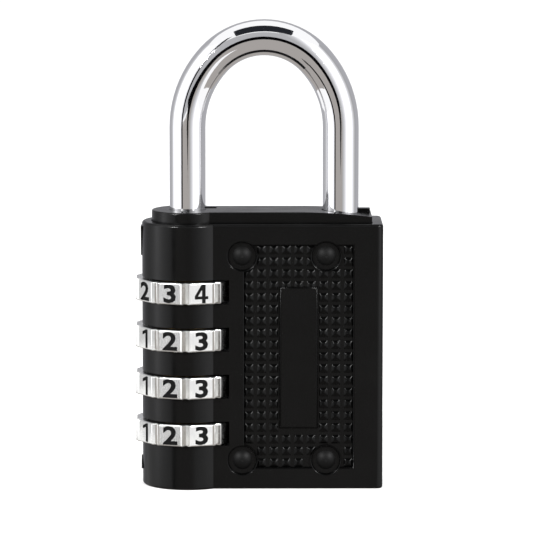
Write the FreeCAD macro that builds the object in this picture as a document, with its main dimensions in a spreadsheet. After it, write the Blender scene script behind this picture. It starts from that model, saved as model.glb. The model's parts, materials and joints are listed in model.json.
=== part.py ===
"""Four-dial resettable combination padlock, in millimetres, +Z up.

The origin is the centre of the padlock's footprint, on its bottom face. The front, where the
dials are read, faces -Y. The long leg of the shackle, the dials and the sleeves inside them
share one vertical axis near the left (-X) side; the short leg, the toe, is to the right.
"""
import FreeCAD, Part
import os
import re
import Sketcher

# ---------------------------------------------------------------- driving sizes
SIZES = [
    ("shackle_diameter", 6.2, "rod of the shackle"),
    ("leg_spacing", 26.4, "between the two leg axes"),
    ("loop_height", 26.6, "cap top to the inside of the crown"),
    ("shoulder_extra", 4.0, "radius of the loop's shoulders beyond half the leg spacing"),
    ("shoulder_angle", 43.0, "turn of each shoulder, before the tighter crown"),
    ("leg_end_z", 4.3, "lower end of the long leg"),
    ("toe_depth", 5.6, "toe below the top of the cap"),
    ("toe_chamfer", 0.5, "chamfer on the toe"),
    ("toe_gap", 0.4, "below the toe"),
    ("toe_play", 0.2, "radial play of the toe in its hole"),
    ("shackle_play", 0.08, "radial play of the long leg in the cap"),
    ("leg_bore_wall", 1.3, "wall of the long leg round its blind bore"),
    ("leg_bore_depth", 11.2, "depth of that bore"),
    ("fin_reach", 1.3, "locking fins beyond the long leg"),
    ("fin_root", 0.4, "locking fins sunk into the long leg"),
    ("fin_width", 1.6, "width of a locking fin"),
    ("fin_height", 1.6, "height of a locking fin"),
    ("fin_play", 0.3, "fin tips from the inside of the sleeves"),
    ("gate_play", 0.2, "gate disc from the long leg"),
    ("gate_height", 3.0, "thickness of the gate disc"),
    ("gate_slot_play", 0.3, "fin in the gate slot, each side"),
    ("sleeve_wall", 0.8, "wall of a sleeve"),
    ("sleeve_gap", 0.1, "between two sleeves"),
    ("spline_reach", 0.7, "splines beyond the sleeve"),
    ("spline_width", 1.2, "width of a spline"),
    ("spline_play", 0.1, "play of the splines in the dial"),
    ("spline_low", 0.2, "foot of the splines above the dial middle"),
    ("spline_height", 1.5, "height of the splines"),
    ("relief_play", 0.3, "relief in the dial beyond the splines"),
    ("dial_low_z", 9.7, "middle of the lowest dial"),
    ("dial_pitch", 8.2, "from one dial to the next"),
    ("dial_thickness", 3.75, "height of a dial"),
    ("dial_wall", 2.1, "least wall of a dial, at a grip groove"),
    ("dial_facet_rise", 0.25, "number facets above the grooves"),
    ("dial_ridge_rise", 0.7, "grip ridges above the grooves"),
    ("dial_facet_half_angle", 12.2, "half the angle that a facet spans"),
    ("dial_ridge_angle", 14.0, "ridge from the middle of its facet"),
    ("dial_ridge_flat", 0.5, "angle that the flat tip of a ridge spans"),
    ("dial_facet_lead", 2.0, "angle by which the facets trail the splines"),
    ("dial_slot_play", 0.4, "slot in the case round a dial"),
    ("dial_slot_gap", 0.225, "slot above and below a dial"),
    ("bore_play", 0.25, "case bore from the sleeves"),
    ("case_floor", 1.5, "thickness under the bore"),
    ("case_head", 11.7, "top dial's middle to the ledge round the cap"),
    ("case_side", 7.2, "toe axis to the right side of the case"),
    ("barrel_wall", 2.15, "wall of the barrel"),
    ("flat_step", 1.33, "flat faces below the round of the barrel"),
    ("case_corner", 1.0, "rounding of the right-hand upright corners"),
    ("case_rim", 0.45, "rounding of the top and bottom outer edges"),
    ("cap_rise", 1.9, "cap top above the ledge"),
    ("ledge_round", 1.7, "ledge round the barrel end of the cap"),
    ("ledge_side", 1.65, "ledge in front of and behind the cap"),
    ("ledge_end", 1.9, "ledge to the right of the cap"),
    ("cap_gap", 0.12, "gap between cap and case"),
    ("cap_edge", 0.25, "rounding of the cap's top edge"),
    ("cap_seat_depth", 2.0, "cap seat below the ledge"),
    ("cap_flange", 0.8, "flange beyond the cap outline"),
    ("cap_flange_height", 0.9, "thickness of that flange"),
    ("cap_slope_length", 12.4, "sloping right-hand part of the cap"),
    ("cap_slope_drop", 0.8, "fall of the cap at its right end"),
    ("notch_reach", 1.88, "notch behind the long leg, beyond the rod"),
    ("notch_width", 2.1, "notch from front to back"),
    ("notch_depth", 2.0, "depth of the notch"),
    ("rib_length", 2.3, "rib beside the toe"),
    ("rib_inset", 0.2, "rib from the right end of the cap"),
    ("rib_width", 1.5, "rib from front to back"),
    ("rib_offset", 1.0, "rib behind the middle plane"),
    ("hub_play", 0.15, "hub under the cap from the case bore"),
    ("hub_gap", 0.1, "between the hub and the top sleeve"),
    ("hub_recess", 0.95, "recess in the hub that stops the top fin"),
    ("washer_height", 0.5, "thrust washer and spring base"),
    ("washer_play", 0.2, "thrust washer from the fin tips"),
    ("washer_z", 7.1, "underside of the thrust washer"),
    ("reset_wire", 0.7, "wire of the reset spring"),
    ("reset_play", 0.25, "reset spring from the fin tips"),
    ("reset_turns", 4.0, "turns of the reset spring"),
    ("lift_wire", 0.45, "wire of the lift spring"),
    ("lift_play", 0.225, "lift spring from its bore and its pin"),
    ("lift_turns", 14.0, "turns of the lift spring"),
    ("pin_height", 8.0, "guide pin above the spring base"),
    ("pin_head_margin", 0.125, "pin head beyond the lift spring"),
    ("rivet_left_margin", 3.65, "left rivets from the case bore"),
    ("rivet_right_margin", 2.6, "right rivets from the toe axis"),
    ("rivet_low_z", 5.0, "lower rivets"),
    ("rivet_drop", 5.5, "upper rivets below the ledge"),
    ("rivet_shank", 0.9, "radius of a rivet shank"),
    ("rivet_head", 1.65, "radius of a domed rivet head"),
    ("rivet_sink_margin", 1.02, "round recess about a rivet head"),
    ("rivet_sink_depth", 0.65, "depth of that recess"),
    ("panel_left_margin", 0.2, "knurled panel's left side inside the dial slots' reach"),
    ("panel_right_margin", 4.9, "knurled panel from the right side of the case"),
    ("panel_low_z", 3.5, "knurled panel, lower side"),
    ("panel_drop", 3.4, "knurled panel below the ledge"),
    ("panel_depth", 0.5, "depth of the panel's floor"),
    ("plateau_side", 6.6, "smooth rectangle inside the panel, left and right"),
    ("plateau_low", 7.4, "smooth rectangle above the panel's lower side"),
    ("plateau_high", 7.7, "smooth rectangle below the panel's upper side"),
    ("hollow_skin", 1.97, "case skin in front of the hollow that saves weight"),
    ("hollow_web", 1.3, "web between the hollow and the click-spring chamber"),
    ("hollow_end", 2.1, "case skin to the right of the hollow"),
    ("hollow_low_z", 8.0, "hollow, lower side"),
    ("hollow_drop", 2.5, "hollow below the upper rivets"),
    ("click_window", 0.2, "chamber opens into the dial slots by this"),
    ("click_room", 3.5, "click-spring chamber beyond the dial slots"),
    ("click_half_depth", 3.6, "half depth of that chamber"),
    ("click_end_room", 3.3, "chamber beyond the middles of the end dials"),
    ("click_gap", 0.15, "click fingers from the dial ridges"),
    ("click_sheet", 0.3, "sheet of the click spring"),
    ("click_back_gap", 0.2, "click spring from the chamber's rear wall"),
    ("finger_root", 2.9, "root of a click finger, behind the middle plane"),
    ("finger_nose", 0.5, "half the nose that rides on the dial"),
    ("finger_tail", 1.6, "free end of a finger, in front of the middle plane"),
    ("click_finger_height", 2.4, "height of a click finger"),
    ("overshoot", 1.0, "how far a cut runs past the surface it opens"),
    ("mark_proud", 0.2, "reading marks above the barrel"),
    ("mark_root", 1.0, "reading marks sunk into the barrel wall"),
    ("mark_tip", 0.04, "blunt tip of a reading mark"),
    ("mark_width", 2.6, "width of a reading mark"),
    ("upper_mark_height", 5.2, "height of the upper reading mark"),
    ("upper_mark_drop", 6.1, "its tip below the ledge"),
    ("lower_mark_height", 2.2, "height of the lower reading mark"),
    ("lower_mark_tip_z", 4.9, "its tip"),
]
# Sizes that follow from the driving ones: each is tied to what it fits
FOLLOWS = {
    "shackle_radius": "shackle_diameter / 2",
    "leg_bore_radius": "shackle_radius - leg_bore_wall",
    "fin_tip_radius": "shackle_radius + fin_reach",
    "gate_bore": "shackle_radius + gate_play",
    "gate_slot_width": "fin_width + 2 * gate_slot_play",
    "sleeve_bore": "fin_tip_radius + fin_play",
    "sleeve_radius": "sleeve_bore + sleeve_wall",
    "spline_radius": "sleeve_radius + spline_reach",
    "relief_radius": "spline_radius + relief_play",
    "dial_groove_radius": "relief_radius + dial_wall",
    "dial_apothem": "dial_groove_radius + dial_facet_rise",
    "dial_ridge_radius": "dial_groove_radius + dial_ridge_rise",
    "dial_left": "dial_ridge_radius * cos((dial_ridge_angle - dial_facet_lead) * 1 deg)",
    "dial_slot_radius": "dial_ridge_radius + dial_slot_play",
    "dial_slot_height": "dial_thickness + 2 * dial_slot_gap",
    "bore_radius": "sleeve_radius + bore_play",
    "hub_radius": "bore_radius - hub_play",
    "barrel_radius": "bore_radius + barrel_wall",
    "case_half_depth": "barrel_radius - flat_step",
    "case_reach": "leg_spacing + case_side",
    "cap_radius": "barrel_radius - ledge_round",
    "cap_half_depth": "case_half_depth - ledge_side",
    "cap_reach": "case_reach - ledge_end",
    "washer_bore": "fin_tip_radius + washer_play",
    "reset_mean_radius": "fin_tip_radius + reset_play + reset_wire / 2",
    "lift_mean_radius": "leg_bore_radius - lift_play - lift_wire / 2",
    "pin_radius": "lift_mean_radius - lift_wire / 2 - lift_play",
    "pin_head_radius": "lift_mean_radius + lift_wire / 2 + pin_head_margin",
    "rivet_sink_radius": "rivet_head + rivet_sink_margin",
    "click_back": "dial_slot_radius + click_room",
    "hollow_half_depth": "case_half_depth - hollow_skin",
    # places along X, from the footprint's centre
    "leg_x": "(dial_left - case_reach) / 2",
    "toe_x": "leg_x + leg_spacing",
    "loop_x": "leg_x + leg_spacing / 2",
    "case_right": "leg_x + case_reach",
    "cap_right": "leg_x + cap_reach",
    "rivet_left": "leg_x + bore_radius + rivet_left_margin",
    "rivet_right": "toe_x - rivet_right_margin",
    "panel_left": "leg_x + dial_slot_radius - panel_left_margin",
    "panel_right": "case_right - panel_right_margin",
    # heights
    "dial_top_z": "dial_low_z + 3 * dial_pitch",
    "sleeve_half": "(dial_pitch - sleeve_gap) / 2",
    "hub_foot": "dial_top_z + sleeve_half + hub_gap",
    "case_height": "dial_top_z + case_head",
    "cap_seat": "case_height - cap_seat_depth",
    "cap_top": "case_height + cap_rise",
    "shoulder_radius": "leg_spacing / 2 + shoulder_extra",
    "centre_offset": "shoulder_extra / cos(shoulder_angle * 1 deg)",
    "crown_radius": "shoulder_radius - centre_offset",
    "crown_z": "cap_top + loop_height + shackle_radius - crown_radius",
    "shoulder_z": "crown_z - centre_offset * sin(shoulder_angle * 1 deg)",
    "toe_z": "cap_top - toe_depth",
    "base_top": "case_floor + washer_height",
    "rivet_high_z": "case_height - rivet_drop",
    "panel_high_z": "case_height - panel_drop",
}
NAMES = {name for name, value, note in SIZES}
DIALS = 4
DIGITS = 10
REACH = 60.0          # longer than any cut that has to pass right through
X_AXIS = FreeCAD.Vector(1, 0, 0)
Y_AXIS = FreeCAD.Vector(0, 1, 0)
Z_AXIS = FreeCAD.Vector(0, 0, 1)
ALONG = {
    "X": FreeCAD.Rotation(Y_AXIS, 90),
    "Y": FreeCAD.Rotation(X_AXIS, -90),
    "-Y": FreeCAD.Rotation(X_AXIS, 90),
    "over": FreeCAD.Rotation(FreeCAD.Vector(1, 1, 1), 240),    # a ring from the top towards +X
    "Z": FreeCAD.Rotation(),
}


def dial_z(number):
    """Middle of a dial; dial 1 is the top one."""
    return f"(dial_low_z + {DIALS - number} * dial_pitch)"


# ---------------------------------------------------------------- document and helpers
doc = FreeCAD.newDocument("Padlock")
sheet = doc.addObject("Spreadsheet::Sheet", "Sizes")
for row, (name, value, note) in enumerate(SIZES, start=1):
    sheet.set(f"A{row}", name)
    sheet.set(f"B{row}", str(value))
    sheet.set(f"C{row}", note)
    sheet.setAlias(f"B{row}", name)
doc.recompute()
nodes = []


def in_sheet(text):
    """Write an expression in terms of the spreadsheet's own cells."""
    return re.sub(r"[A-Za-z_]\w*", lambda word: sheet_name(word.group()), str(text))


def sheet_name(word):
    if word in FOLLOWS:
        return f"({in_sheet(FOLLOWS[word])})"
    return f"Sizes.{word}" if word in NAMES else word


def number(text):
    """The present value of an expression."""
    return float(sheet.evalExpression(in_sheet(text)))


def bind(item, **expressions):
    """Bind properties to expressions; a double underscore in a name stands for a dot."""
    for prop, text in expressions.items():
        item.setExpression(prop.replace("__", "."), in_sheet(text))
    return item


def place(item, x, y, z, along="Z"):
    item.Placement = FreeCAD.Placement(FreeCAD.Vector(), ALONG[along])
    return bind(item, Placement__Base__x=x, Placement__Base__y=y, Placement__Base__z=z)


def box(name, x0, x1, y0, y1, z0, z1):
    item = doc.addObject("Part::Box", name)
    bind(item, Length=f"({x1}) - ({x0})", Width=f"({y1}) - ({y0})", Height=f"({z1}) - ({z0})")
    return place(item, x0, y0, z0)


def cylinder(name, radius, height, x="leg_x", y="0", z="0", along="Z"):
    item = doc.addObject("Part::Cylinder", name)
    bind(item, Radius=radius, Height=height)
    return place(item, x, y, z, along)


def fuse(name, pieces):
    item = doc.addObject("Part::MultiFuse", name)
    item.Shapes = pieces
    item.Refine = True
    return item


def cut(name, base, tools):
    item = doc.addObject("Part::Cut", name)
    item.Base = base
    item.Tool = tools[0] if len(tools) == 1 else fuse(name + "_tools", tools)
    item.Refine = True
    return item


def common(name, first, second):
    item = doc.addObject("Part::Common", name)
    item.Base = first
    item.Tool = second
    item.Refine = True
    return item


def node(item, label):
    """Register a finished sub-part under its own label."""
    item.Label = label
    nodes.append(item)
    return item


def plane_sketch(body, name, height="0"):
    """A sketch on the body's XY plane, lifted to a height."""
    sketch = body.newObject("Sketcher::SketchObject", name)
    plane = [item for item in body.Origin.OriginFeatures if item.Role == "XY_Plane"][0]
    sketch.AttachmentSupport = [(plane, "")]
    sketch.MapMode = "FlatFace"
    bind(sketch, AttachmentOffset__Base__z=height)
    return sketch


def measure(sketch, kind, where, text):
    """Add a dimension that the sheet drives."""
    index = sketch.addConstraint(Sketcher.Constraint(kind, *where, number(text)))
    label = f"size_{index}"
    sketch.renameConstraint(index, label)
    sketch.setExpression(f"Constraints.{label}", in_sheet(text))


def circle(sketch, radius):
    middle = FreeCAD.Vector(0, 0, 0)
    index = sketch.addGeometry(Part.Circle(middle, Z_AXIS, number(radius)), False)
    sketch.addConstraint(Sketcher.Constraint("Coincident", index, 3, -1, 1))
    measure(sketch, "Radius", (index,), radius)


def coordinate(sketch, kind, index, text):
    """Pin one coordinate of a corner, measured from the origin on its own side."""
    if number(text) < 0:
        measure(sketch, kind, (index, 1, -1, 1), f"-({text})")
    else:
        measure(sketch, kind, (-1, 1, index, 1), text)


def polygon(sketch, corners):
    """A closed outline with straight sides, each corner given as (x, y) expressions."""
    points = [FreeCAD.Vector(number(x), number(y), 0) for x, y in corners]
    first = sketch.GeometryCount
    for start, end in zip(points, points[1:] + points[:1]):
        sketch.addGeometry(Part.LineSegment(start, end), False)
    for step in range(len(points)):
        after = first + (step + 1) % len(points)
        sketch.addConstraint(Sketcher.Constraint("Coincident", first + step, 2, after, 1))
    for step, (x, y) in enumerate(corners):
        coordinate(sketch, "DistanceX", first + step, x)
        coordinate(sketch, "DistanceY", first + step, y)


def extrude(body, kind, sketch, length, up=True):
    """Pad or Pocket a sketch; both run upwards unless up is False."""
    feature = body.newObject("PartDesign::" + kind, kind + "_" + sketch.Name)
    feature.Profile = sketch
    bind(feature, Length=length)
    feature.Reversed = (kind == "Pocket") == up
    doc.recompute()
    return feature


def around(body, feature, count):
    """Repeat a feature about the body's Z axis."""
    pattern = body.newObject("PartDesign::PolarPattern", "Around_" + feature.Name)
    pattern.Originals = [feature]
    axis = [item for item in body.Origin.OriginFeatures if item.Role == "Z_Axis"][0]
    pattern.Axis = (axis, [""])
    pattern.Angle = 360
    pattern.Occurrences = count
    body.Tip = pattern
    doc.recompute()
    return pattern


def keyhole_body(name, radius, half_depth, reach, low, high):
    """A round end on the long-leg axis that runs into a straight-sided bar, from low to high."""
    body = doc.addObject("PartDesign::Body", name)
    sketch = plane_sketch(body, name + "_outline", low)
    centre_x = number("leg_x")
    size = number(radius)
    half = number(half_depth)
    kink_x = centre_x + (size ** 2 - half ** 2) ** 0.5
    right_x = centre_x + number(reach)
    back = FreeCAD.Vector(kink_x, half, 0)
    front = FreeCAD.Vector(kink_x, -half, 0)
    right_back = FreeCAD.Vector(right_x, half, 0)
    right_front = FreeCAD.Vector(right_x, -half, 0)
    left = FreeCAD.Vector(centre_x - size, 0, 0)
    sketch.addGeometry(Part.Arc(back, left, front), False)
    sketch.addGeometry(Part.LineSegment(front, right_front), False)
    sketch.addGeometry(Part.LineSegment(right_front, right_back), False)
    sketch.addGeometry(Part.LineSegment(right_back, back), False)
    for one, other in ((0, 1), (1, 2), (2, 3), (3, 0)):
        sketch.addConstraint(Sketcher.Constraint("Coincident", one, 2, other, 1))
    for kind, line in (("Horizontal", 1), ("Vertical", 2), ("Horizontal", 3)):
        sketch.addConstraint(Sketcher.Constraint(kind, line))
    sketch.addConstraint(Sketcher.Constraint("PointOnObject", 0, 3, -1))
    measure(sketch, "DistanceX", (0, 3, -1, 1), "-leg_x")
    measure(sketch, "Radius", (0,), radius)
    measure(sketch, "DistanceY", (1, 1, -1, 1), half_depth)
    measure(sketch, "DistanceY", (-1, 1, 3, 1), half_depth)
    measure(sketch, "DistanceX", (-1, 1, 2, 1), f"leg_x + {reach}")
    extrude(body, "Pad", sketch, f"({high}) - ({low})")
    return body


def round_edges(body, radius, wanted):
    """Fillet the edges of the body's tip that the test picks."""
    tip = body.Tip
    picked = [f"Edge{i}" for i, edge in enumerate(tip.Shape.Edges, start=1) if wanted(edge)]
    fillet = body.newObject("PartDesign::Fillet", body.Name + "_round" + str(len(body.Group)))
    fillet.Base = (tip, picked)
    bind(fillet, Radius=radius)
    doc.recompute()
    return fillet


def is_upright(edge):
    return edge.BoundBox.ZLength > 1 and edge.BoundBox.XLength < 0.01


def lies_at(edge, height):
    return abs(edge.BoundBox.ZMin - height) < 0.01 and edge.BoundBox.ZLength < 0.01


# ---------------------------------------------------------------- case
def case_form():
    """Outer form of the closed case: barrel and flat body, with rounded edges."""
    body = keyhole_body("case_form", "barrel_radius", "case_half_depth", "case_reach",
                        "0", "case_height")
    right = number("case_right")
    round_edges(body, "case_corner",
                lambda edge: is_upright(edge) and abs(edge.BoundBox.XMax - right) < 0.01)
    top = number("case_height")
    round_edges(body, "case_rim", lambda edge: lies_at(edge, 0) or lies_at(edge, top))
    return body


def reading_mark(name, tip_z, height, points_down):
    """A raised arrowhead on the left of the barrel, at the line where the code is read."""
    mark = doc.addObject("Part::Wedge", name)
    bind(mark, Xmin="-mark_width / 2", Xmax="mark_width / 2", Ymin="0", Ymax=height,
         Zmin="0", Zmax="mark_root + mark_proud")
    bind(mark, X2min="-mark_tip / 2", X2max="mark_tip / 2", Z2min="0",
         Z2max="mark_root + mark_proud")
    run = -1 if points_down else 1
    mark.Placement.Rotation = FreeCAD.Rotation(
        FreeCAD.Vector(0, -run, 0), FreeCAD.Vector(0, 0, run), -X_AXIS, "XYZ")
    foot = f"{tip_z} - {run} * {height}"
    return bind(mark, Placement__Base__x="leg_x - barrel_radius + mark_root",
                Placement__Base__y="0", Placement__Base__z=foot)


def panel_recess(name, outside, inside):
    """Sunk floor of the knurled panel on one face, with the smooth rectangle left standing."""
    field = box(name + "_field", "panel_left", "panel_right",
                outside, inside, "panel_low_z", "panel_high_z")
    island = box(name + "_island", "panel_left + plateau_side", "panel_right - plateau_side",
                 outside, inside, "panel_low_z + plateau_low", "panel_high_z - plateau_high")
    return cut(name, field, [island])


def rivet_places():
    return [(side, level) for side in ("rivet_left", "rivet_right")
            for level in ("rivet_low_z", "rivet_high_z")]


def rivet_cuts():
    """Shank holes and the round recess about each head, front and back."""
    cuts = []
    for index, (x, z) in enumerate(rivet_places(), start=1):
        cuts.append(cylinder(f"rivet_hole_{index}", "rivet_shank", "2 * case_half_depth",
                             x, "-case_half_depth", z, "Y"))
        cuts.append(cylinder(f"rivet_sink_front_{index}", "rivet_sink_radius",
                             "rivet_sink_depth + overshoot", x, "-case_half_depth - overshoot", z, "Y"))
        cuts.append(cylinder(f"rivet_sink_back_{index}", "rivet_sink_radius",
                             "rivet_sink_depth + overshoot", x,
                             "case_half_depth - rivet_sink_depth", z, "Y"))
    return cuts


def case_hollows():
    """Everything cut out of the closed case before it is split."""
    cuts = [
        cylinder("sleeve_bore_cut", "bore_radius", "cap_seat - case_floor", z="case_floor"),
        cylinder("toe_hole_cut", "shackle_radius + toe_play", "toe_depth + toe_gap",
                 "toe_x", "0", "toe_z - toe_gap"),
        keyhole_body("cap_opening", "cap_radius + cap_gap", "cap_half_depth + cap_gap",
                     "cap_reach + cap_gap", "cap_seat", "case_height + overshoot"),
        keyhole_body("cap_groove", "cap_radius + cap_flange + cap_gap",
                     "cap_half_depth + cap_flange + cap_gap", "cap_reach + cap_flange + cap_gap",
                     "cap_seat", "cap_seat + cap_flange_height + cap_gap"),
        box("weight_hollow", "leg_x + click_back + hollow_web", "case_right - hollow_end",
            "-hollow_half_depth", "hollow_half_depth", "hollow_low_z",
            "rivet_high_z - hollow_drop"),
        box("click_chamber", "leg_x + dial_slot_radius - click_window", "leg_x + click_back",
            "-click_half_depth", "click_half_depth",
            "dial_low_z - click_end_room", "dial_top_z + click_end_room"),
        panel_recess("panel_front", "-case_half_depth - overshoot", "-case_half_depth + panel_depth"),
        panel_recess("panel_back", "case_half_depth - panel_depth", "case_half_depth + overshoot"),
    ]
    for index in range(1, DIALS + 1):
        cuts.append(cylinder(f"dial_slot_{index}", "dial_slot_radius", "dial_slot_height",
                             z=f"{dial_z(index)} - dial_slot_height / 2"))
    return cuts + rivet_cuts()


def case_halves():
    """The case is two castings that meet on the middle plane."""
    marked = fuse("case_marked", [
        case_form(),
        reading_mark("upper_mark", "case_height - upper_mark_drop", "upper_mark_height", True),
        reading_mark("lower_mark", "lower_mark_tip_z", "lower_mark_height", False),
    ])
    closed = cut("case_closed", marked, case_hollows())
    sides = f"leg_x - {REACH}", f"leg_x + {REACH}"
    heights = "-overshoot", "case_height + overshoot"
    front = box("front_side", *sides, f"-{REACH}", "0", *heights)
    back = box("back_side", *sides, "0", f"{REACH}", *heights)
    node(common("front_case_shape", closed, front), "front_case")
    node(common("back_case_shape", closed, back), "back_case")


def top_cap():
    """Cap trapped between the halves: guides the long leg and frames the toe hole."""
    plate = keyhole_body("cap_plate", "cap_radius", "cap_half_depth", "cap_reach",
                         "cap_seat", "cap_top")
    top = number("cap_top")
    round_edges(plate, "cap_edge", lambda edge: lies_at(edge, top))
    flange = keyhole_body("cap_flange_plate", "cap_radius + cap_flange",
                          "cap_half_depth + cap_flange", "cap_reach + cap_flange",
                          "cap_seat", "cap_seat + cap_flange_height")
    hub = cylinder("cap_hub", "hub_radius", "cap_seat - hub_foot", z="hub_foot")
    slope_radius = "((cap_slope_length ^ 2 + cap_slope_drop ^ 2) / (2 * cap_slope_drop))"
    over_slope = box("over_slope", "cap_right - cap_slope_length", "cap_right + overshoot",
                     f"-{REACH}", f"{REACH}", "cap_top - 2 * cap_slope_drop", "cap_top + overshoot")
    slope_round = cylinder("slope_round", slope_radius, f"2 * {REACH}",
                           "cap_right - cap_slope_length", f"-{REACH}",
                           f"cap_top - {slope_radius}", "Y")
    sloped = cut("cap_sloped", plate, [cut("slope_cut", over_slope, [slope_round])])
    rib_right = "cap_right - rib_inset"
    rib = box("cap_rib", f"{rib_right} - rib_length", rib_right,
              "rib_offset", "rib_offset + rib_width",
              "case_height", "cap_top")
    cuts = [
        cylinder("leg_hole", "shackle_radius + shackle_play", "cap_top - hub_foot",
                 z="hub_foot"),
        cylinder("fin_recess", "sleeve_bore", "hub_recess", z="hub_foot"),
        cylinder("toe_hole", "shackle_radius + toe_play", "cap_rise + cap_seat_depth",
                 "toe_x", "0", "cap_seat"),
        box("cap_notch", "leg_x", "leg_x + shackle_radius + notch_reach",
            "shackle_radius - notch_width", "shackle_radius",
            "cap_top - notch_depth", "cap_top + overshoot"),
    ]
    whole = fuse("cap_whole", [sloped, flange, hub, rib])
    node(cut("top_cap_shape", whole, cuts), "top_cap")


def case_rivets():
    """Four rivets through both halves, each with a domed head front and back."""
    half = "(case_half_depth - rivet_sink_depth)"
    dome_height = "rivet_sink_depth"
    dome_radius = f"((rivet_head ^ 2 + {dome_height} ^ 2) / (2 * {dome_height}))"
    rivets = []
    for index, (x, z) in enumerate(rivet_places(), start=1):
        pieces = [cylinder(f"rivet_shank_{index}", "rivet_shank", f"2 * {half}",
                           x, f"-{half}", z, "Y")]
        for side, sign, along in (("front", "-", "-Y"), ("back", "", "Y")):
            ball = doc.addObject("Part::Sphere", f"rivet_{side}_ball_{index}")
            bind(ball, Radius=dome_radius)
            centre_y = f"{sign}({half} + {dome_height} - {dome_radius})"
            place(ball, x, centre_y, z, along)
            disc = cylinder(f"rivet_{side}_disc_{index}", "rivet_head + overshoot", dome_height,
                            x, f"{sign}{half}", z, along)
            pieces.append(common(f"rivet_{side}_dome_{index}", ball, disc))
        rivets.append(fuse(f"rivet_{index}", pieces))
    group = doc.addObject("Part::Compound", "rivet_group")
    group.Links = rivets
    node(group, "case_rivets")


# ---------------------------------------------------------------- shackle
def bend(name, radius, angle):
    """Part of a ring of shackle rod."""
    item = doc.addObject("Part::Torus", name)
    return bind(item, Radius1=radius, Radius2="shackle_radius", Angle3=f"({angle}) * 1 deg")


def shackle():
    """Rod bent over two wide shoulders and a tighter crown; the long leg has a fin per dial."""
    long_leg = cylinder("long_leg", "shackle_radius", "shoulder_z - leg_end_z", z="leg_end_z")
    toe_leg = cylinder("toe_leg", "shackle_radius", "shoulder_z - toe_z - toe_chamfer",
                       "toe_x", "0", "toe_z + toe_chamfer")
    toe_tip = doc.addObject("Part::Cone", "toe_tip")
    bind(toe_tip, Radius1="shackle_radius - toe_chamfer", Radius2="shackle_radius", Height="toe_chamfer")
    place(toe_tip, "toe_x", "0", "toe_z")
    shoulder = bend("shoulder", "shoulder_radius", "shoulder_angle")
    place(shoulder, "toe_x - shoulder_radius", "0", "shoulder_z", "-Y")
    crown = bend("crown", "crown_radius", "90 - shoulder_angle")
    place(crown, "loop_x", "0", "crown_z", "over")
    toe_side = fuse("toe_side_bend", [shoulder, crown])
    leg_side = doc.addObject("Part::Mirroring", "leg_side_bend")
    leg_side.Source = toe_side
    leg_side.Normal = X_AXIS
    bind(leg_side, Base__x="loop_x")
    pieces = [long_leg, toe_leg, toe_tip, toe_side, leg_side]
    for index in range(1, DIALS + 1):
        middle = f"({dial_z(index)} - dial_pitch / 2)"
        pieces.append(box(f"fin_{index}", "leg_x - fin_tip_radius",
                          "leg_x - shackle_radius + fin_root",
                          "-fin_width / 2", "fin_width / 2",
                          f"{middle} - fin_height / 2", f"{middle} + fin_height / 2"))
    rod = fuse("shackle_rod", pieces)
    bore = cylinder("spring_bore", "leg_bore_radius", "leg_bore_depth", z="leg_end_z")
    node(cut("shackle_shape", rod, [bore]), "shackle")


# ---------------------------------------------------------------- dials and sleeves
def polar(radius, angle):
    return f"({radius}) * cos(({angle}) * 1 deg)", f"({radius}) * sin(({angle}) * 1 deg)"


def turned_sketch(body, name, height):
    """A sketch turned back by the facet lead."""
    sketch = plane_sketch(body, name, height)
    sketch.AttachmentOffset = FreeCAD.Placement(FreeCAD.Vector(), FreeCAD.Rotation(-Z_AXIS, 1))
    bind(sketch, AttachmentOffset__Base__z=height,
         AttachmentOffset__Rotation__Angle="dial_facet_lead * 1 deg")
    return sketch


def dial(index):
    """Number ring with ten facets, grip grooves between them, and splines inside."""
    foot = "-dial_thickness / 2"
    body = doc.addObject("PartDesign::Body", f"dial_{index}_body")
    blank = plane_sketch(body, f"dial_{index}_blank", foot)
    circle(blank, "dial_ridge_radius")
    circle(blank, "sleeve_radius + spline_play")
    extrude(body, "Pad", blank, "dial_thickness")

    facet = turned_sketch(body, f"dial_{index}_facet", foot)
    edge = "dial_apothem / cos(dial_facet_half_angle * 1 deg)"
    beyond = "1.2 * dial_ridge_radius"
    polygon(facet, [polar(edge, "-dial_facet_half_angle"),
                    polar("dial_ridge_radius", "-dial_ridge_angle"),
                    polar(beyond, "-dial_ridge_angle"),
                    polar(beyond, "dial_ridge_angle"),
                    polar("dial_ridge_radius", "dial_ridge_angle"),
                    polar(edge, "dial_facet_half_angle")])
    around(body, extrude(body, "Pocket", facet, "dial_thickness"), DIGITS)

    groove = turned_sketch(body, f"dial_{index}_groove", foot)
    half_step = 180 / DIGITS
    near_side = "dial_ridge_angle + dial_ridge_flat"
    far_side = f"2 * {half_step} - ({near_side})"
    polygon(groove, [polar("dial_groove_radius", half_step),
                     polar("dial_ridge_radius", near_side),
                     polar(beyond, near_side),
                     polar(beyond, far_side),
                     polar("dial_ridge_radius", far_side)])
    around(body, extrude(body, "Pocket", groove, "dial_thickness"), DIGITS)

    relief = plane_sketch(body, f"dial_{index}_relief", foot)
    circle(relief, "relief_radius")
    extrude(body, "Pocket", relief, "dial_thickness / 2 + spline_low - spline_play / 2")

    slot = plane_sketch(body, f"dial_{index}_slot", foot)
    half_width = "spline_width / 2 + spline_play"
    polygon(slot, [("sleeve_bore", f"-({half_width})"),
                   ("spline_radius + spline_play", f"-({half_width})"),
                   ("spline_radius + spline_play", half_width),
                   ("sleeve_bore", half_width)])
    around(body, extrude(body, "Pocket", slot, "dial_thickness"), DIGITS)
    place(body, "leg_x", "0", dial_z(index))
    node(body, f"dial_{index}")


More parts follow.
